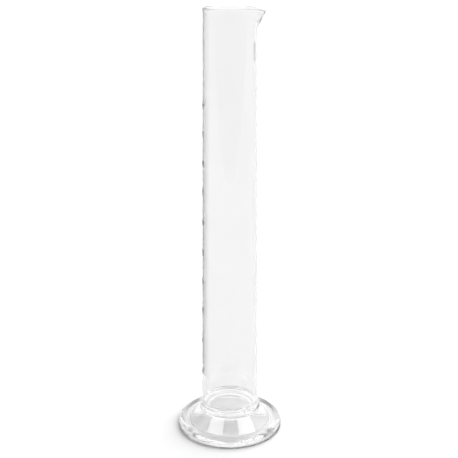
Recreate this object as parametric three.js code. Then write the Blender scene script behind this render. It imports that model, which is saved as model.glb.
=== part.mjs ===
// A 500 ml glass measuring cylinder: a drawn tube with a closed bottom and a pinched spout,
// a pressed round foot, the ring of melted glass that joins the two, and an enamel scale.
// Millimetres, +Z up, spout towards +X. The origin is on the table, under the tube's axis.

import * as THREE from "three";

// ---- tube ----
const OVERALL_HEIGHT = 388;
const TUBE_RADIUS = 26; // outside
const WALL = 1.9;
const BORE_RADIUS = TUBE_RADIUS - WALL;
const FLOOR_HEIGHT = 20.6; // inside bottom of the bore, above the table
const BOTTOM_THICKNESS = 3.6;
const OUTER_CORNER = 3; // rounding of the closed bottom, outside
const INNER_CORNER = 4; // and inside
const RIM_BEAD_RADIUS = 1; // the fire-polished rim is a little thicker than the wall
const RIM_FLARE = 0.2; // and stands this far outside it
const RIM_HEIGHT = 5; // length of tube that the flare takes

// ---- spout ----
const SPOUT_REACH = 1.38; // distance of the tip from the axis, over the tube's radius
const SPOUT_HEIGHT = 19; // from the rim down to where its keel meets the wall
const SPOUT_DROOP = 3.2; // how far the tip lies below the rim
const DROOP_CURVE = 1.2; // above 1, the rim leaves the level gradually
const SPOUT_ROWS = 5;

// ---- foot ----
const FOOT_RADIUS = 47.2;
const EDGE_ROUND = 3.6; // from the table up to the widest line of the rounded edge
const CREST_RADIUS = 41.5; // highest line of the rounded edge, where the ledge starts
const CREST_HEIGHT = 7.4;
const GROOVE_RADIUS = 36.9; // crease between the ledge and the cone
const GROOVE_HEIGHT = 6;
const CONE_TOP_HEIGHT = 16.4;
const HOLLOW_RADIUS = 38; // the foot is hollow underneath, so that it stands on a ring
const HOLLOW_DEPTH = 13;
const HOLLOW_TOP_RADIUS = 20; // where the hollow's flat top would meet its sloping side
const HOLLOW_SOFTNESS = 7; // how far the curve between them runs each way

// ---- joint ring ----
const RING_RADIUS = 27.9;
const RING_TOP_HEIGHT = 21.6;
const RING_SHOULDER = 2.4; // height of its rounded top edge

// ---- scale ----
const CAPACITY = 500; // ml
const LONG_EVERY = 50; // ml
const MEDIUM_EVERY = 25; // ml
const LONG_LINE = 20; // length round the tube
const MEDIUM_LINE = 14;
const LINE_WIDTH = 0.4;
const ENAMEL_THICKNESS = 0.15;
const SCALE_START_DEG = 156; // azimuth of the lines' left ends; the scale is opposite the spout

// ---- fineness and clearance ----
const TURN_SEGMENTS = 72;
const RING_SEGMENTS = 48;
const CORNER_STEPS = 4;
const BEAD_STEPS = 6;
const HOLLOW_STEPS = 5;
const LINE_STEPS = 10;
const GAP = 0.05; // between pieces that are fused or fired on

const CUBIC_MM_PER_ML = 1000;

// ---- materials ----
const clearGlass = () => new THREE.MeshStandardMaterial({ color: 0xe9efee, roughness: 0.04, metalness: 0 });
const enamel = () => new THREE.MeshStandardMaterial({ color: 0xd4d5d2, roughness: 0.45, metalness: 0 });

// Points on an elliptical arc about (radius, height), angles in degrees from the outward direction.
function arc(centre, radii, fromDeg, toDeg, steps) {
  const [radius, height] = centre;
  const [across, up] = radii;
  return Array.from({ length: steps + 1 }, (_, i) => {
    const angle = THREE.MathUtils.degToRad(THREE.MathUtils.lerp(fromDeg, toDeg, i / steps));
    return [radius + across * Math.cos(angle), height + up * Math.sin(angle)];
  });
}

// A solid of revolution about +Z from [radius, height] points, with azimuth 0 along +X.
function turned(profile, segments = TURN_SEGMENTS) {
  const points = profile.map(([radius, height]) => new THREE.Vector2(Math.max(radius, 0), height));
  const alongX = new THREE.Vector3(1, 0, 0);
  const alongY = new THREE.Vector3(0, 1, 0);
  const alongZ = new THREE.Vector3(0, 0, 1);
  const uprightZ = new THREE.Matrix4().makeBasis(alongY, alongZ, alongX);
  return new THREE.LatheGeometry(points, segments).applyMatrix4(uprightZ);
}

// Where the spout takes a point of the plain tube. At each height the section is the tube's circle
// and two lines tangent to it, which meet at the keel; the rim dips towards the tip.
function pourShape(x, y, z) {
  const openness = THREE.MathUtils.clamp(1 - (OVERALL_HEIGHT - z) / SPOUT_HEIGHT, 0, 1);
  const tangentAngle = Math.acos(1 / (1 + (SPOUT_REACH - 1) * openness));
  const inside = tangentAngle - Math.abs(Math.atan2(y, x));
  if (inside <= 0 || openness === 0) return [x, y, z];
  const stretch = 1 / Math.cos(inside);
  const alongLine = Math.tan(inside) / Math.tan(tangentAngle);
  return [x * stretch, y * stretch, z - SPOUT_DROOP * openness * alongLine ** DROOP_CURVE];
}

// Moves every vertex of a geometry by a function of its place.
function reshape(geometry, place) {
  const position = geometry.getAttribute("position");
  for (let i = 0; i < position.count; i += 1) {
    position.setXYZ(i, ...place(position.getX(i), position.getY(i), position.getZ(i)));
  }
  geometry.computeVertexNormals();
  return geometry;
}

// The tube: up the outside, over the fire-polished rim, down the bore and across its floor.
function tubeGeometry() {
  const underside = FLOOR_HEIGHT - BOTTOM_THICKNESS;
  const spoutBase = OVERALL_HEIGHT - SPOUT_HEIGHT;
  const rimBase = OVERALL_HEIGHT - RIM_HEIGHT;
  const beadCentre = [TUBE_RADIUS + RIM_FLARE - RIM_BEAD_RADIUS, OVERALL_HEIGHT - RIM_BEAD_RADIUS];
  const rows = Array.from({ length: SPOUT_ROWS }, (_, i) =>
    THREE.MathUtils.lerp(spoutBase, rimBase, i / (SPOUT_ROWS - 1)),
  );
  const outerCorner = [TUBE_RADIUS - OUTER_CORNER, underside + OUTER_CORNER];
  const innerCorner = [BORE_RADIUS - INNER_CORNER, FLOOR_HEIGHT + INNER_CORNER];
  const profile = [
    [0, underside],
    ...arc(outerCorner, [OUTER_CORNER, OUTER_CORNER], -90, 0, CORNER_STEPS),
    ...rows.map((height) => [TUBE_RADIUS, height]),
    ...arc(beadCentre, [RIM_BEAD_RADIUS, RIM_BEAD_RADIUS], 0, 180, BEAD_STEPS),
    ...rows.toReversed().map((height) => [BORE_RADIUS, height]),
    ...arc(innerCorner, [INNER_CORNER, INNER_CORNER], 0, -90, CORNER_STEPS),
    [0, FLOOR_HEIGHT],
  ];
  return reshape(turned(profile), pourShape);
}

// The foot: a hollow underneath, a flat ring to stand on, a rounded edge, a ledge that slopes
// inwards, a straight cone and a short neck as wide as the tube.
function footGeometry() {
  const neckTop = FLOOR_HEIGHT - BOTTOM_THICKNESS - GAP;
  const lowerEdge = [FOOT_RADIUS - EDGE_ROUND, EDGE_ROUND];
  const upperEdge = [CREST_RADIUS, EDGE_ROUND];
  const upperRadii = [FOOT_RADIUS - CREST_RADIUS, CREST_HEIGHT - EDGE_ROUND];
  const hollowEdge = new THREE.Vector2(HOLLOW_RADIUS, 0);
  const hollowCorner = new THREE.Vector2(HOLLOW_TOP_RADIUS, HOLLOW_DEPTH);
  const downSide = hollowEdge.clone().sub(hollowCorner).setLength(HOLLOW_SOFTNESS).add(hollowCorner);
  const alongTop = new THREE.Vector2(HOLLOW_TOP_RADIUS - HOLLOW_SOFTNESS, HOLLOW_DEPTH);
  const hollowCurve = new THREE.QuadraticBezierCurve(alongTop, hollowCorner, downSide);
  return turned([
    [0, HOLLOW_DEPTH],
    ...hollowCurve.getPoints(HOLLOW_STEPS).map((point) => point.toArray()),
    hollowEdge.toArray(),
    ...arc(lowerEdge, [EDGE_ROUND, EDGE_ROUND], -90, 0, CORNER_STEPS),
    ...arc(upperEdge, upperRadii, 0, 90, CORNER_STEPS).slice(1),
    [GROOVE_RADIUS, GROOVE_HEIGHT],
    [RING_RADIUS, CONE_TOP_HEIGHT],
    [TUBE_RADIUS, CONE_TOP_HEIGHT],
    [TUBE_RADIUS, neckTop],
    [0, neckTop],
  ]);
}

// The ring of melted glass round the joint, with a rounded top edge.
function jointRingGeometry() {
  const inner = TUBE_RADIUS + GAP;
  const base = CONE_TOP_HEIGHT + GAP;
  const shoulder = [inner, RING_TOP_HEIGHT - RING_SHOULDER];
  return turned([
    [inner, base],
    [RING_RADIUS, base],
    ...arc(shoulder, [RING_RADIUS - inner, RING_SHOULDER], 0, 90, CORNER_STEPS),
    [inner, base],
  ], RING_SEGMENTS);
}

// Height of the liquid's surface for a volume in ml, allowing for the rounded corner of the floor.
function levelFor(volume) {
  const cornerTube = BORE_RADIUS - INNER_CORNER; // radius of the bore's flat floor
  const square = INNER_CORNER ** 2;
  const squareRing = Math.PI * (BORE_RADIUS ** 2 - cornerTube ** 2) * INNER_CORNER;
  const roundRing = Math.PI * cornerTube * (Math.PI * square / 2) + (2 / 3) * Math.PI * INNER_CORNER ** 3;
  const lostToCorner = squareRing - roundRing;
  return FLOOR_HEIGHT + (volume * CUBIC_MM_PER_ML + lostToCorner) / (Math.PI * BORE_RADIUS ** 2);
}

// One line of the scale: a thin bar of enamel bent round the tube from the scale's left edge.
function lineGeometry(length, height) {
  const bar = new THREE.BoxGeometry(length, ENAMEL_THICKNESS, LINE_WIDTH, LINE_STEPS, 1, 1);
  const start = THREE.MathUtils.degToRad(SCALE_START_DEG);
  const middle = TUBE_RADIUS + GAP + ENAMEL_THICKNESS / 2;
  return reshape(bar, (x, y, z) => {
    const angle = start + (x + length / 2) / TUBE_RADIUS;
    const radius = middle - y;
    return [radius * Math.cos(angle), radius * Math.sin(angle), height + z];
  });
}

function named(name, geometry, material) {
  const mesh = new THREE.Mesh(geometry, material);
  mesh.name = name;
  return mesh;
}

// The numbered lines are long and those halfway between them are medium.
function scaleLines() {
  const lines = [];
  for (let volume = LONG_EVERY; volume <= CAPACITY; volume += MEDIUM_EVERY) {
    const length = volume % LONG_EVERY === 0 ? LONG_LINE : MEDIUM_LINE;
    const label = String(volume).padStart(3, "0");
    lines.push(named(`graduation_${label}_ml`, lineGeometry(length, levelFor(volume)), enamel()));
  }
  return lines;
}

const cylinder = new THREE.Group();
cylinder.add(
  named("measuring_tube", tubeGeometry(), clearGlass()),
  named("round_foot", footGeometry(), clearGlass()),
  named("joint_ring", jointRingGeometry(), clearGlass()),
  ...scaleLines(),
);

export default cylinder;
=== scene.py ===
"""A glass measuring cylinder on white paper. The glass, the enamel scale and the set are built here,
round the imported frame: the tube's axis is +Z through the origin, the spout is at +X, the cylinder
stands at z = 0 and the paper lies just under it."""

import math

import bmesh
import bpy
from mathutils import Matrix, Vector

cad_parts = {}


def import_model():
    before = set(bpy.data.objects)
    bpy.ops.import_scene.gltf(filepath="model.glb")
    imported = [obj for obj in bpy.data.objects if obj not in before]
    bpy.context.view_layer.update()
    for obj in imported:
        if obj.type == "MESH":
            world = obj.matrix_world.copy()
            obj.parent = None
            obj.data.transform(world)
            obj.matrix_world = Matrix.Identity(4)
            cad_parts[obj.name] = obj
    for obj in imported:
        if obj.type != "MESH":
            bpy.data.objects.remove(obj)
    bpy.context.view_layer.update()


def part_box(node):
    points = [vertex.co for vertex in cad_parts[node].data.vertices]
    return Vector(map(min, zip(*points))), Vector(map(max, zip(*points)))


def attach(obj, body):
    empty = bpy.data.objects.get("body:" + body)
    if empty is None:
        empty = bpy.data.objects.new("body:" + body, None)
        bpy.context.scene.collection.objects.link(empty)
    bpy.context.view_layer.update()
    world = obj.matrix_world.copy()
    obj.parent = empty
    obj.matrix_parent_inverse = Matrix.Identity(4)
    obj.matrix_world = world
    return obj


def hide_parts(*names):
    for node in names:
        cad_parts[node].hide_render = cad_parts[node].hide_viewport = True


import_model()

MM = 0.001
BODY = "root"

# ---- driving dimensions, in metres, read off the frame ----
TUBE_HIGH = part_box("measuring_tube")[1]
FOOT_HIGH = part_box("round_foot")[1]
RING_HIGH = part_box("joint_ring")[1]
RIM_HEIGHT = TUBE_HIGH.z
FOOT_RADIUS = FOOT_HIGH.x
COLLAR_RADIUS = RING_HIGH.x

# ---- shape of the glass, in metres ----
TUBE_RADIUS = 26.0 * MM
WALL = 1.9 * MM
BORE_RADIUS = TUBE_RADIUS - WALL
BORE_FLOOR = 20.6 * MM
FLOOR_CORNER = 4.0 * MM
BEAD_RADIUS = 1.0 * MM
BEAD_FLARE = 0.2 * MM
SPOUT_REACH = 1.38
SPOUT_HEIGHT = 19.0 * MM
SPOUT_DROOP = 3.2 * MM
SPOUT_TIP_ROUND = math.radians(3.0)
DROOP_CURVE = 1.2  # above 1, the rim leaves the level gradually
FLARE_HEIGHT = 5.0 * MM  # of the rim's flare, down from the rim
FLARE_ROUND = 4.0 * MM
BEAD_HEIGHT = 2.4 * MM
BEAD_BASE_ROUND = 1.0 * MM
CONE_TOP = 16.4 * MM
CONE_TOP_ROUND = 0.8 * MM
COLLAR_TOP = 21.6 * MM
COLLAR_SLOPE = 0.4 * MM  # how far the collar's top falls outwards
COLLAR_ROUND = 1.8 * MM
COLLAR_TUBE_ROUND = 1.0 * MM
JOINT_HEIGHT = 17.4 * MM  # where the foot is melted to the tube and the collar
RING_END = 22.8 * MM  # where the collar's fillet leaves the tube
GROOVE_RADIUS = 36.9 * MM
GROOVE_HEIGHT = 6.0 * MM
GROOVE_ROUND = 0.8 * MM
EDGE_ROUND = 3.6 * MM
CREST_RADIUS = 41.5 * MM
CREST_HEIGHT = 7.4 * MM
CREST_SLOPE = (0.5 * MM, 0.4 * MM)  # inwards and down from the crest to the start of the ledge
CREST_ROUND = 0.3 * MM
RECESS_RADIUS = 38.0 * MM
RECESS_DEPTH = 13.0 * MM
RECESS_SHOULDER = 20.0 * MM
RECESS_ROUND = 12.0 * MM
RECESS_EDGE_ROUND = 1.5 * MM

# ---- fineness ----
TURN_STEPS = 360
SHARP_ANGLE = math.radians(60)
TINY = 0.001 * MM
FILLET_SHARE = 0.49  # of a straight stretch, that the rounding of one end may take
FINE_STEP = 1.0 * MM
FINE_BELOW = 30.0 * MM  # up to this height
FINE_UNDER_RIM = 22.0 * MM  # and from this far below the rim
LONG_CUTS = 24  # along the plain tube between them
LOW_STEPS = 5  # fine steps at its lower end
HIGH_STEPS = 20  # and at its upper end
LEVEL_DIGITS = 7  # of a height in metres, after the point


# ---- outlines ----

def linked(name, data):
    """A new object in the scene."""
    made = bpy.data.objects.new(name, data)
    bpy.context.scene.collection.objects.link(made)
    return made


def fillet(before, corner, after, radius, steps=8):
    """Points of the arc that rounds a corner between two straight stretches of an outline."""
    into = (Vector(before) - Vector(corner)).normalized()
    out = (Vector(after) - Vector(corner)).normalized()
    half = into.angle(out) / 2
    reach = min(radius / math.tan(half), (Vector(before) - Vector(corner)).length * FILLET_SHARE,
                (Vector(after) - Vector(corner)).length * FILLET_SHARE)
    radius = reach * math.tan(half)
    centre = Vector(corner) + (into + out).normalized() * (radius / math.sin(half))
    start = Vector(corner) + into * reach - centre
    end = Vector(corner) + out * reach - centre
    sweep = start.angle(end)
    turn = 1 if start.x * end.y - start.y * end.x > 0 else -1
    return [centre + Matrix.Rotation(turn * sweep * i / steps, 2) @ start for i in range(steps + 1)]


def outline(corners):
    """An outline from (radius, height, rounding) corners, each rounded by its own radius."""
    points = []
    last = len(corners) - 1
    for i, (radius, height, rounding) in enumerate(corners):
        if i in (0, last) or rounding == 0:
            points.append(Vector((radius, height)))
        else:
            points += fillet(corners[i - 1][:2], (radius, height), corners[i + 1][:2], rounding)
    return points


def in_joint(a, b):
    """True where a stretch of an outline lies between two pieces that are melted together."""
    flat = max(abs(a.y - JOINT_HEIGHT), abs(b.y - JOINT_HEIGHT)) < TINY
    upright = max(abs(a.x - TUBE_RADIUS), abs(b.x - TUBE_RADIUS)) < TINY
    return flat or (upright and max(a.y, b.y) < RING_END + TINY)


def turned(name, profile, place=None):
    """A smooth closed solid of revolution. Its outline starts and ends on the axis, or closes on
    itself. Faces in the joint take the second material."""
    on_axis = profile[0].x == 0
    rings = profile[1:-1] if on_axis else profile
    vertices = []
    for point in rings:
        for step in range(TURN_STEPS):
            angle = 2 * math.pi * step / TURN_STEPS
            vertices.append((point.x * math.cos(angle), point.x * math.sin(angle), point.y))
    faces, kinds = [], []
    for ring in range(len(rings) - 1 if on_axis else len(rings)):
        above = (ring + 1) % len(rings)
        for step in range(TURN_STEPS):
            after = (step + 1) % TURN_STEPS
            corners = ((ring, step), (ring, after), (above, after), (above, step))
            faces.append([r * TURN_STEPS + s for r, s in corners])
            kinds.append(in_joint(rings[ring], rings[above]))
    if on_axis:
        first, last = len(vertices), len(vertices) + 1
        vertices += [(0, 0, profile[0].y), (0, 0, profile[-1].y)]
        top = (len(rings) - 1) * TURN_STEPS
        for step in range(TURN_STEPS):
            after = (step + 1) % TURN_STEPS
            faces += [(first, after, step), (last, top + step, top + after)]
            kinds += [in_joint(profile[0], profile[1]), in_joint(profile[-2], profile[-1])]
    if place:
        vertices = [place(*v) for v in vertices]
    mesh = bpy.data.meshes.new(name)
    mesh.from_pydata(vertices, [], faces)
    mesh.polygons.foreach_set("material_index", [int(kind) for kind in kinds])
    mesh.shade_smooth()
    mesh.set_sharp_from_angle(angle=SHARP_ANGLE)
    return linked(name, mesh)


# ---- node helpers ----

def smooth_step(nodes, links, value, start, end):
    """0 below start, 1 above end and a smooth way between."""
    step = nodes.new("ShaderNodeMapRange")
    step.interpolation_type = "SMOOTHSTEP"
    step.inputs["From Min"].default_value = start
    step.inputs["From Max"].default_value = end
    links.new(value, step.inputs["Value"])
    return step.outputs[0]


def math_node(nodes, links, operation, *values):
    """One step of arithmetic on numbers or sockets."""
    node = nodes.new("ShaderNodeMath")
    node.operation = operation
    for socket, value in zip(node.inputs, values):
        if isinstance(value, (int, float)):
            socket.default_value = value
        else:
            links.new(value, socket)
    return node.outputs[0]


def waves(nodes, links, spacing, detail=2.0):
    """Smooth noise whose swells are this far apart along X, Y and Z, in metres."""
    where = nodes.new("ShaderNodeTexCoord")
    stretch = nodes.new("ShaderNodeVectorMath")
    stretch.operation = "DIVIDE"
    links.new(where.outputs["Object"], stretch.inputs[0])
    stretch.inputs[1].default_value = spacing
    noise = nodes.new("ShaderNodeTexNoise")
    noise.inputs["Scale"].default_value = 1.0
    noise.inputs["Detail"].default_value = detail
    links.new(stretch.outputs[0], noise.inputs["Vector"])
    return noise.outputs["Fac"]


def bumped(nodes, links, height, depth):
    """A normal from a height between 0 and 1, where 1 stands this many metres proud."""
    bump = nodes.new("ShaderNodeBump")
    bump.inputs["Strength"].default_value = 1.0
    bump.inputs["Distance"].default_value = depth
    links.new(height, bump.inputs["Height"])
    return bump.outputs["Normal"]


def shaded(nodes, links, share, dark, light):
    """A colour between two by a share."""
    mix = nodes.new("ShaderNodeMix")
    mix.data_type = "RGBA"
    links.new(share, mix.inputs["Factor"])
    mix.inputs[6].default_value = (*dark, 1)
    mix.inputs[7].default_value = (*light, 1)
    return mix.outputs[2]


def mixed(nodes, links, share, first, second):
    """first where share is 0 and second where it is 1."""
    mix = nodes.new("ShaderNodeMix")
    mix.data_type = "FLOAT"
    for socket, value in zip((mix.inputs[0], mix.inputs[2], mix.inputs[3]), (share, first, second)):
        if isinstance(value, (int, float)):
            socket.default_value = value
        else:
            links.new(value, socket)
    return mix.outputs[0]


# ---- glass, as shapes ----

def pour(x, y, z):
    """Where the spout takes a point of the plain tube: its section becomes a circle and two tangents
    that meet at the keel, and the rim dips towards the tip."""
    openness = min(1, max(0, 1 - (RIM_HEIGHT - z) / SPOUT_HEIGHT))
    if openness == 0:
        return x, y, z
    tangent = math.acos(1 / (1 + (SPOUT_REACH - 1) * openness))
    inside = tangent - math.hypot(math.atan2(y, x), SPOUT_TIP_ROUND * openness)
    if inside <= 0:
        return x, y, z
    stretch = 1 / math.cos(inside)
    along = math.tan(inside) / math.tan(tangent)
    return x * stretch, y * stretch, z - SPOUT_DROOP * openness * along ** DROOP_CURVE


def bend(centre, radii, start, end, steps=16):
    """Points of an elliptical arc, between angles in degrees from the outward direction."""
    (x, y), (across, up) = centre, radii
    angles = [math.radians(start + (end - start) * i / steps) for i in range(steps + 1)]
    return [Vector((x + across * math.cos(a), y + up * math.sin(a))) for a in angles]


def foot_outline():
    """Hollow underside, edge, ledge, cone and the start of the collar, up to the joint."""
    under = [
        (0, RECESS_DEPTH, 0),
        (RECESS_SHOULDER, RECESS_DEPTH, RECESS_ROUND),
        (RECESS_RADIUS, 0, RECESS_EDGE_ROUND),
        (FOOT_RADIUS - EDGE_ROUND, 0, 0),
    ]
    edge = bend((FOOT_RADIUS - EDGE_ROUND, EDGE_ROUND), (EDGE_ROUND, EDGE_ROUND), -90, 0)
    upper_radii = (FOOT_RADIUS - CREST_RADIUS, CREST_HEIGHT - EDGE_ROUND)
    edge += bend((CREST_RADIUS, EDGE_ROUND), upper_radii, 0, 90)[1:]
    corners = [
        (CREST_RADIUS, CREST_HEIGHT, 0),
        (CREST_RADIUS - CREST_SLOPE[0], CREST_HEIGHT - CREST_SLOPE[1], CREST_ROUND),
        (GROOVE_RADIUS, GROOVE_HEIGHT, GROOVE_ROUND),
        (COLLAR_RADIUS, CONE_TOP, CONE_TOP_ROUND),
        (COLLAR_RADIUS, JOINT_HEIGHT, 0),
        (0, JOINT_HEIGHT, 0),
    ]
    return outline(under)[:-1] + edge[:-1] + outline(corners)


def ring_outline():
    """The collar outside, then its joints with the tube and the foot."""
    return outline([
        (COLLAR_RADIUS, JOINT_HEIGHT, 0),
        (COLLAR_RADIUS, COLLAR_TOP - COLLAR_SLOPE, COLLAR_ROUND),
        (TUBE_RADIUS, COLLAR_TOP, COLLAR_TUBE_ROUND),
        (TUBE_RADIUS, RING_END, 0),
        (TUBE_RADIUS, JOINT_HEIGHT, 0),
    ])


def tube_outline():
    """The joints under and round the closed bottom, then wall, rim, bore and floor."""
    flare_start = RIM_HEIGHT - FLARE_HEIGHT
    bead_start = RIM_HEIGHT - BEAD_HEIGHT
    bead_outside = TUBE_RADIUS + BEAD_FLARE
    bead_inside = TUBE_RADIUS + BEAD_FLARE - 2 * BEAD_RADIUS
    return outline([
        (0, JOINT_HEIGHT, 0),
        (TUBE_RADIUS, JOINT_HEIGHT, 0),
        (TUBE_RADIUS, RING_END, 0),
        (TUBE_RADIUS, flare_start, FLARE_ROUND),
        (bead_outside, bead_start, BEAD_BASE_ROUND),
        (bead_outside, RIM_HEIGHT, BEAD_RADIUS),
        (bead_inside, RIM_HEIGHT, BEAD_RADIUS),
        (bead_inside, bead_start, BEAD_BASE_ROUND),
        (BORE_RADIUS, flare_start, FLARE_ROUND),
        (BORE_RADIUS, BORE_FLOOR, FLOOR_CORNER),
        (0, BORE_FLOOR, 0),
    ])


def fine_outline(points):
    """Short steps near the foot and the rim and longer ones along the plain tube."""
    made = [points[0]]
    for a, b in zip(points, points[1:]):
        if max(a.y, b.y) < FINE_BELOW or min(a.y, b.y) > RIM_HEIGHT - FINE_UNDER_RIM:
            cuts = max(1, math.ceil((b - a).length / FINE_STEP))
            made += [a.lerp(b, i / cuts) for i in range(1, cuts + 1)]
        else:
            low, high = sorted((a.y, b.y))
            heights = [low + FINE_STEP * i for i in range(1, LOW_STEPS + 1)]
            heights += [low + (high - low) * i / LONG_CUTS for i in range(1, LONG_CUTS)]
            heights += [high - FINE_STEP * i for i in range(HIGH_STEPS)]
            heights = sorted(set(round(v, LEVEL_DIGITS) for v in heights if low < v <= high))
            if a.y > b.y:
                heights = [v for v in reversed(heights) if v < a.y] + [low]
            made += [a.lerp(b, (height - a.y) / (b.y - a.y)) for height in heights]
    return made


# ---- glass, as a material ----
GLASS_DARK = (0.95, 0.95, 0.95)
GLASS_LIGHT = (0.966, 0.966, 0.966)
TUBE_SWELLS = (9 * MM, 9 * MM, 160 * MM)
FOOT_SWELLS = (11 * MM, 11 * MM, 11 * MM)
SWELL_DEPTH = 0.012 * MM
REFRACTIVE_INDEX = 1.5


def joint_material():
    """Where two pieces are melted together there is no surface, and light goes straight on."""
    material = bpy.data.materials.new("melted_joint")
    material.use_nodes = True
    material.node_tree.nodes["Principled BSDF"].inputs["Alpha"].default_value = 0.0
    return material


def glass_material(name, spacing, depth):
    """Clear glass with long faint swells in its surface and in its tint."""
    material = bpy.data.materials.new(name)
    material.use_nodes = True
    nodes, links = material.node_tree.nodes, material.node_tree.links
    shader = nodes["Principled BSDF"]
    shader.inputs["Transmission Weight"].default_value = 1.0
    shader.inputs["IOR"].default_value = REFRACTIVE_INDEX
    shader.inputs["Roughness"].default_value = 0.0
    swell = waves(nodes, links, spacing)
    links.new(shaded(nodes, links, swell, GLASS_DARK, GLASS_LIGHT), shader.inputs["Base Color"])
    links.new(bumped(nodes, links, swell, depth), shader.inputs["Normal"])
    return material


# ---- enamel scale ----
CAPACITY = 500
LONG_EVERY, MEDIUM_EVERY, SHORT_EVERY = 50, 25, 5
LINE_LENGTHS = {"long": 20 * MM, "medium": 14 * MM, "short": 9 * MM}
SCALE_START = math.radians(156)
LINE_HALF_WIDTH = 0.2 * MM
ENAMEL_HEIGHT = 0.1 * MM
ENAMEL_GAP = 0.02 * MM
FIGURE_HEIGHT = 4.2 * MM
FIGURE_LINE_GAP = 1.3 * MM
LINE_STEPS = 16
DOME_STEPS = 6
LINE_END_REACH = 0.9  # of the half width, that the round ends stand out
LINE_END_SIZE = 0.35  # of a line's width and height, at its very ends
DIGIT_SHARE = 0.7  # of the letter size, that a digit is high
FIGURE_CURVE_STEPS = 6
ENAMEL_THIN = (0.66, 0.66, 0.65)
ENAMEL_THICK = (0.84, 0.84, 0.83)
ENAMEL_ROUGHNESS = 0.45
ENAMEL_CLEARNESS = 0.25
PATCH_SPACING = 0.8 * MM
PATCH_DETAIL = 3.0
GRAIN_SPACING = 0.12 * MM
GRAIN_DEPTH = 0.01 * MM


def node_name(volume):
    """The name of the frame's line for a volume."""
    return f"graduation_{volume:03d}_ml"


def level(volume):
    """Height of the middle of a volume's line, from the frame's first and last lines."""
    first, last = (sum(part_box(node_name(v)), Vector()).z / 2 for v in (LONG_EVERY, CAPACITY))
    return first + (last - first) * (volume - LONG_EVERY) / (CAPACITY - LONG_EVERY)


def on_tube(along, up, out):
    """A point of the print: along the tube's outside from the scale's left edge, up, and out of the
    glass."""
    angle = SCALE_START + along / TUBE_RADIUS
    radius = TUBE_RADIUS + ENAMEL_GAP + out
    return Vector((radius * math.cos(angle), radius * math.sin(angle), up))


def line_mesh(length, height):
    """Vertices and faces of one line: a low dome of enamel with round ends."""
    vertices, faces = [], []
    for i in range(LINE_STEPS + 1):
        turn = math.pi * i / LINE_STEPS
        along = length / 2 - (length / 2 - LINE_HALF_WIDTH) * math.cos(turn)
        end = LINE_HALF_WIDTH if i in (0, LINE_STEPS) else 0
        along += end * (1 if i else -1) * LINE_END_REACH
        narrow = LINE_END_SIZE if end else 1.0
        for j in range(DOME_STEPS + 1):
            lean = math.pi * j / DOME_STEPS
            side = LINE_HALF_WIDTH * narrow * math.cos(lean)
            vertices.append(on_tube(along, height + side, ENAMEL_HEIGHT * narrow * math.sin(lean)))
    row = DOME_STEPS + 1
    for i in range(LINE_STEPS):
        for j in range(DOME_STEPS):
            a = i * row + j
            faces.append((a, a + 1, a + row + 1, a + row))
        a = i * row
        faces.append((a, a + row, a + row + DOME_STEPS, a + DOME_STEPS))
    last = LINE_STEPS * row
    faces.append(tuple(range(row - 1, -1, -1)))
    faces.append(tuple(range(last, last + row)))
    return vertices, faces


def scale_lines(name, volumes, length):
    """All the lines of one length as one piece."""
    vertices, faces = [], []
    for volume in volumes:
        points, quads = line_mesh(length, level(volume))
        faces += [tuple(len(vertices) + i for i in quad) for quad in quads]
        vertices += points
    mesh = bpy.data.meshes.new(name)
    mesh.from_pydata(vertices, [], faces)
    mesh.shade_smooth()
    mesh.set_sharp_from_angle(angle=SHARP_ANGLE)
    return linked(name, mesh)


def figure(text, volume):
    """A number or sign printed just over its line, ending where the long lines end."""
    curve = bpy.data.curves.new(f"figure_{text}", "FONT")
    curve.body = text
    curve.size = FIGURE_HEIGHT / DIGIT_SHARE
    curve.extrude = ENAMEL_HEIGHT / 2
    curve.align_x = "RIGHT"
    curve.resolution_u = FIGURE_CURVE_STEPS
    drawn = linked(f"figure_{text}", curve)
    mesh = bpy.data.meshes.new_from_object(drawn)
    bpy.data.objects.remove(drawn)
    base = level(volume) + FIGURE_LINE_GAP
    for vertex in mesh.vertices:
        x, y, z = vertex.co
        vertex.co = on_tube(LINE_LENGTHS["long"] + x, base + y, z + ENAMEL_HEIGHT / 2)
    return mesh


def figures(name, labels):
    """All the figures joined into one piece."""
    joined = bmesh.new()
    for text, volume in labels:
        mesh = figure(text, volume)
        joined.from_mesh(mesh)
        bpy.data.meshes.remove(mesh)
    whole = bpy.data.meshes.new(name)
    joined.to_mesh(whole)
    joined.free()
    return linked(name, whole)


def enamel_material():
    """Fired enamel: white, a little uneven in thickness, grainy, and thin enough to let some light
    through."""
    material = bpy.data.materials.new("scale_enamel")
    material.use_nodes = True
    nodes, links = material.node_tree.nodes, material.node_tree.links
    shader = nodes["Principled BSDF"]
    shader.inputs["Roughness"].default_value = ENAMEL_ROUGHNESS
    shader.inputs["Transmission Weight"].default_value = ENAMEL_CLEARNESS
    patches = waves(nodes, links, (PATCH_SPACING,) * 3, PATCH_DETAIL)
    grain = waves(nodes, links, (GRAIN_SPACING,) * 3)
    links.new(shaded(nodes, links, patches, ENAMEL_THIN, ENAMEL_THICK), shader.inputs["Base Color"])
    links.new(bumped(nodes, links, grain, GRAIN_DEPTH), shader.inputs["Normal"])
    return material


# ---- set ----
PAPER = (-2.0, 4.0, -0.9, 8.0)  # left, right, front and back
PAPER_DROP = 0.15 * MM
PAPER_ALBEDO = 0.8
PAPER_FACE = 0.99  # the same, to the camera
PAD_GLOW = 0.2
PAD_RADIUS = 41.0 * MM
PAD_SIDES = 96
LONGEST_PATH = 160  # bounces, enough to let trapped light out of the glass

# Brightness of the parts of the room, where 1 is plain white. The last two light the paper.
WHITE = 1.0
FRONT_FLOOR = 0.75
FRONT_CEILING = 0.5
BACKDROP = 1.15
SKY = 0.05
BANK_LIGHT = 2.95

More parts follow.
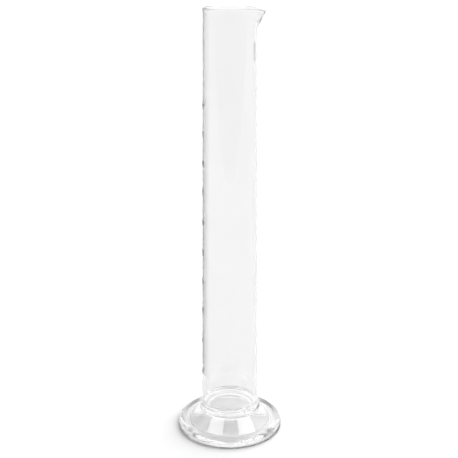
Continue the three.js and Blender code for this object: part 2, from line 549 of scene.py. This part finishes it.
# Directions: parts of a unit vector, or degrees where the name says so. Each pair runs from where
# a part of the room starts to where it is full.
FRONT_EDGE = (0.2, -0.3)
CEILING_EDGE_DEG = (15, 35)
FLOOR_EDGE = (0.0, -0.05)
BACKDROP_DEPTH = (0.35, 0.65)
BACKDROP_RISE = (0.15, 0.35)
BANK_TOWARDS = Vector((0.3, 0.25, 0.92)).normalized()
BANK_EDGE_DEG = (55, 22)

# Light paths. Depths are whole numbers, so a limit lies halfway between two.
ONCE = 0.5
NEAR_WALL = 2.5

SKIRT_GAP = 0.1 * MM
SKIRT_HEIGHT = 6.5 * MM
BAND_STEP_DEG = 2
FLAG_RADIUS = 0.12
# Start and end in degrees from the spout, grey, and lower and upper edge in metres.
FLAGS = [(127, 137, 0.45, 0, 1), (141, 180, 0.6, 0, 1), (19, 32, 0.01, 0.325, 0.345)]

# Two lamps: the ends of the middle line of each, in metres.
LAMPS = {
    "left_softbox": ((-0.439, -0.866, 1.3), (-1.411, -0.353, 1.3)),
    "right_softbox": ((0.555, -0.834, 1.3), (1.671, -0.117, 1.3)),
}
LAMP_WIDTH = 0.4
LAMP_LIGHT = 6.8

# The camera, in heights of the cylinder.
CAMERA_DISTANCE = 2.36
CAMERA_HEIGHT = 1.189
AIM_HEIGHT = 0.4653
CAMERA_SIDE = -0.75 * MM
LENS = 76.9  # in millimetres


def plain_material(name, grey, glow=0.0):
    """Matt grey, with a white glow of its own if one is given."""
    material = bpy.data.materials.new(name)
    material.use_nodes = True
    shader = material.node_tree.nodes["Principled BSDF"]
    shader.inputs["Base Color"].default_value = (grey, grey, grey, 1)
    shader.inputs["Roughness"].default_value = 1.0
    shader.inputs["Specular IOR Level"].default_value = 0.0
    shader.inputs["Emission Color"].default_value = (1, 1, 1, 1)
    shader.inputs["Emission Strength"].default_value = glow
    return material


def staged(name, corners, faces, material):
    """A piece of the set."""
    mesh = bpy.data.meshes.new(name)
    mesh.from_pydata(corners, [], faces)
    mesh.materials.append(material)
    piece = linked(name, mesh)
    return piece


def paper():
    """The sheet under the cylinder, a little brighter to the camera than to the glass."""
    left, right, front, back = PAPER
    outer = ((left, front), (right, front), (right, back), (left, back))
    corners = [(x, y, -PAPER_DROP) for x, y in outer]
    material = plain_material("paper", PAPER_ALBEDO)
    nodes, links = material.node_tree.nodes, material.node_tree.links
    path = nodes.new("ShaderNodeLightPath")
    face = mixed(nodes, links, path.outputs["Is Camera Ray"], PAPER_ALBEDO, PAPER_FACE)
    links.new(face, nodes["Principled BSDF"].inputs["Base Color"])
    staged("paper", corners, [(0, 1, 2, 3)], material)


def light_pad():
    """A lit disc under the foot, hidden by its standing ring."""
    turns = [2 * math.pi * i / PAD_SIDES for i in range(PAD_SIDES)]
    corners = [(PAD_RADIUS * math.cos(a), PAD_RADIUS * math.sin(a), -PAPER_DROP / 2) for a in turns]
    material = plain_material("light_pad", PAPER_ALBEDO, PAD_GLOW)
    staged("light_pad", corners, [tuple(range(PAD_SIDES))], material)


def band(name, radius, start, end, low, high, material):
    """An upright curved card round the axis, between two azimuths in degrees and two heights."""
    steps = math.ceil((end - start) / BAND_STEP_DEG)
    corners = []
    for i in range(steps + 1):
        angle = math.radians(start + (end - start) * i / steps)
        corners += [(radius * math.cos(angle), radius * math.sin(angle), z) for z in (low, high)]
    faces = [(2 * i, 2 * i + 2, 2 * i + 3, 2 * i + 1) for i in range(steps)]
    return staged(name, corners, faces, material)


def flag(start, end, grey, low, high):
    """A curved dark card. Only light that the near wall of the glass reflects sees it, so it darkens
    the glass's outline and never shows straight through the glass."""
    material = plain_material("dark_card", grey)
    nodes, links = material.node_tree.nodes, material.node_tree.links
    path = nodes.new("ShaderNodeLightPath")
    near = math_node(nodes, links, "LESS_THAN", path.outputs["Transmission Depth"], NEAR_WALL)
    mirrored = math_node(nodes, links, "GREATER_THAN", path.outputs["Glossy Depth"], ONCE)
    choice = nodes.new("ShaderNodeMixShader")
    links.new(math_node(nodes, links, "MULTIPLY", near, mirrored), choice.inputs[0])
    links.new(nodes.new("ShaderNodeBsdfTransparent").outputs[0], choice.inputs[1])
    links.new(nodes["Principled BSDF"].outputs[0], choice.inputs[2])
    links.new(choice.outputs[0], nodes["Material Output"].inputs["Surface"])
    card = band("flag", FLAG_RADIUS, start, end, low, high, material)
    card.visible_camera = False
    card.visible_diffuse = False
    card.visible_shadow = False


def shadow_skirt():
    """A low dark wall just outside the foot, which only the paper sees. It deepens the contact
    shadow."""
    radius = FOOT_RADIUS + SKIRT_GAP
    material = plain_material("dark_skirt", 0.0)
    skirt = band("shadow_skirt", radius, 0, 360, 0, SKIRT_HEIGHT, material)
    skirt.visible_camera = False
    skirt.visible_glossy = False
    skirt.visible_transmission = False


def softbox(name, start, end):
    """A rectangular lamp whose middle line runs from start to end, facing the cylinder's foot. It
    shows in the glass and doesn't light the paper."""
    start, end = Vector(start), Vector(end)
    middle = (start + end) / 2
    across = (end - start).normalized()
    back = middle.normalized()
    back = (back - back.project(across)).normalized()
    up = back.cross(across)
    light = bpy.data.lights.new(name, "AREA")
    light.shape = "RECTANGLE"
    light.size = (end - start).length
    light.size_y = LAMP_WIDTH
    light.energy = LAMP_LIGHT * math.pi * light.size * light.size_y
    lamp = linked(name, light)
    turn = Matrix((across, up, back)).transposed().to_4x4()
    lamp.matrix_world = Matrix.Translation(middle) @ turn
    lamp.visible_diffuse = False


def world():
    """Three lights in one. The camera sees white. The glass sees a white room, which is darker in
    front where it is mirrored. The paper sees a dark sky and a bank of light overhead, a little to
    the back and right."""
    made = bpy.data.worlds.new("studio")
    bpy.context.scene.world = made
    made.use_nodes = True
    nodes, links = made.node_tree.nodes, made.node_tree.links
    where = nodes.new("ShaderNodeTexCoord")
    split = nodes.new("ShaderNodeSeparateXYZ")
    links.new(where.outputs["Generated"], split.inputs[0])
    x, y, z = split.outputs
    front = smooth_step(nodes, links, y, *FRONT_EDGE)
    ceiling = [math.sin(math.radians(angle)) for angle in CEILING_EDGE_DEG]
    above = smooth_step(nodes, links, z, *ceiling)
    below = smooth_step(nodes, links, z, *FLOOR_EDGE)
    wall = math_node(nodes, links, "MULTIPLY", smooth_step(nodes, links, y, *BACKDROP_DEPTH),
                     smooth_step(nodes, links, z, *BACKDROP_RISE))
    path = nodes.new("ShaderNodeLightPath")
    mirrored = math_node(nodes, links, "GREATER_THAN", path.outputs["Glossy Depth"], ONCE)
    front = math_node(nodes, links, "MULTIPLY", front, mirrored)
    room = mixed(nodes, links, wall, WHITE, BACKDROP)
    front_above = math_node(nodes, links, "MULTIPLY", front, above)
    room = mixed(nodes, links, front_above, room, FRONT_CEILING)
    front_below = math_node(nodes, links, "MULTIPLY", front, below)
    room = mixed(nodes, links, front_below, room, FRONT_FLOOR)

    lean = nodes.new("ShaderNodeVectorMath")
    lean.operation = "DOT_PRODUCT"
    links.new(where.outputs["Generated"], lean.inputs[0])
    lean.inputs[1].default_value = BANK_TOWARDS
    bank = [math.cos(math.radians(angle)) for angle in BANK_EDGE_DEG]
    in_bank = smooth_step(nodes, links, lean.outputs["Value"], *bank)
    sky = mixed(nodes, links, in_bank, SKY, BANK_LIGHT)

    on_paper = math_node(nodes, links, "GREATER_THAN", path.outputs["Diffuse Depth"], ONCE)
    light = mixed(nodes, links, on_paper, room, sky)
    light = mixed(nodes, links, path.outputs["Is Camera Ray"], light, WHITE)
    links.new(light, nodes["Background"].inputs["Color"])


def camera():
    """A level camera. Its parent is sheared, so that it looks down and uprights stay parallel."""
    distance = CAMERA_DISTANCE * RIM_HEIGHT
    height = CAMERA_HEIGHT * RIM_HEIGHT
    aim = AIM_HEIGHT * RIM_HEIGHT
    drop = (height - aim) / distance
    lens = bpy.data.cameras.new("camera")
    lens.lens = LENS * math.hypot(1, drop)
    cam = linked("camera", lens)
    cam.parent = linked("camera_standard", None)
    shear = Matrix.Identity(4)
    shear[2][1] = -drop
    cam.matrix_parent_inverse = Matrix.Translation((CAMERA_SIDE, -distance, height)) @ shear
    cam.rotation_euler = (math.radians(90), 0, 0)
    bpy.context.scene.camera = cam


# ---- the object and its set ----
scene = bpy.context.scene
scene.view_settings.view_transform = "Standard"
scene.cycles.max_bounces = LONGEST_PATH
scene.cycles.transparent_max_bounces = LONGEST_PATH
scene.cycles.transmission_bounces = LONGEST_PATH
scene.cycles.glossy_bounces = LONGEST_PATH

drawn_glass = glass_material("drawn_glass", TUBE_SWELLS, SWELL_DEPTH)
pressed_glass = glass_material("pressed_glass", FOOT_SWELLS, SWELL_DEPTH)
joint = joint_material()
for piece, node, glass in (
    (turned("cylinder_tube", fine_outline(tube_outline()), pour), "measuring_tube", drawn_glass),
    (turned("pressed_foot", fine_outline(foot_outline())), "round_foot", pressed_glass),
    (turned("melted_ring", fine_outline(ring_outline())), "joint_ring", pressed_glass),
):
    piece.data.materials.append(glass)
    piece.data.materials.append(joint)
    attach(piece, BODY)
    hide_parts(node)
enamel = enamel_material()
long_volumes = range(LONG_EVERY, CAPACITY + 1, LONG_EVERY)
medium_volumes = range(LONG_EVERY + MEDIUM_EVERY, CAPACITY, LONG_EVERY)
short_volumes = [v for v in range(LONG_EVERY, CAPACITY, SHORT_EVERY) if v % MEDIUM_EVERY]
labels = [(str(v), v) for v in long_volumes if v < CAPACITY] + [(f"{CAPACITY} ml", CAPACITY)]
printed = {
    "long_lines": scale_lines("long_lines", long_volumes, LINE_LENGTHS["long"]),
    "medium_lines": scale_lines("medium_lines", medium_volumes, LINE_LENGTHS["medium"]),
    "short_lines": scale_lines("short_lines", short_volumes, LINE_LENGTHS["short"]),
    "scale_figures": figures("scale_figures", labels),
}
for piece in printed.values():
    piece.data.materials.append(enamel)
    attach(piece, BODY)
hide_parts(*map(node_name, long_volumes))
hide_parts(*map(node_name, medium_volumes))

paper()
light_pad()
shadow_skirt()
for card in FLAGS:
    flag(*card)
for name, (start, end) in LAMPS.items():
    softbox(name, start, end)
world()
camera()
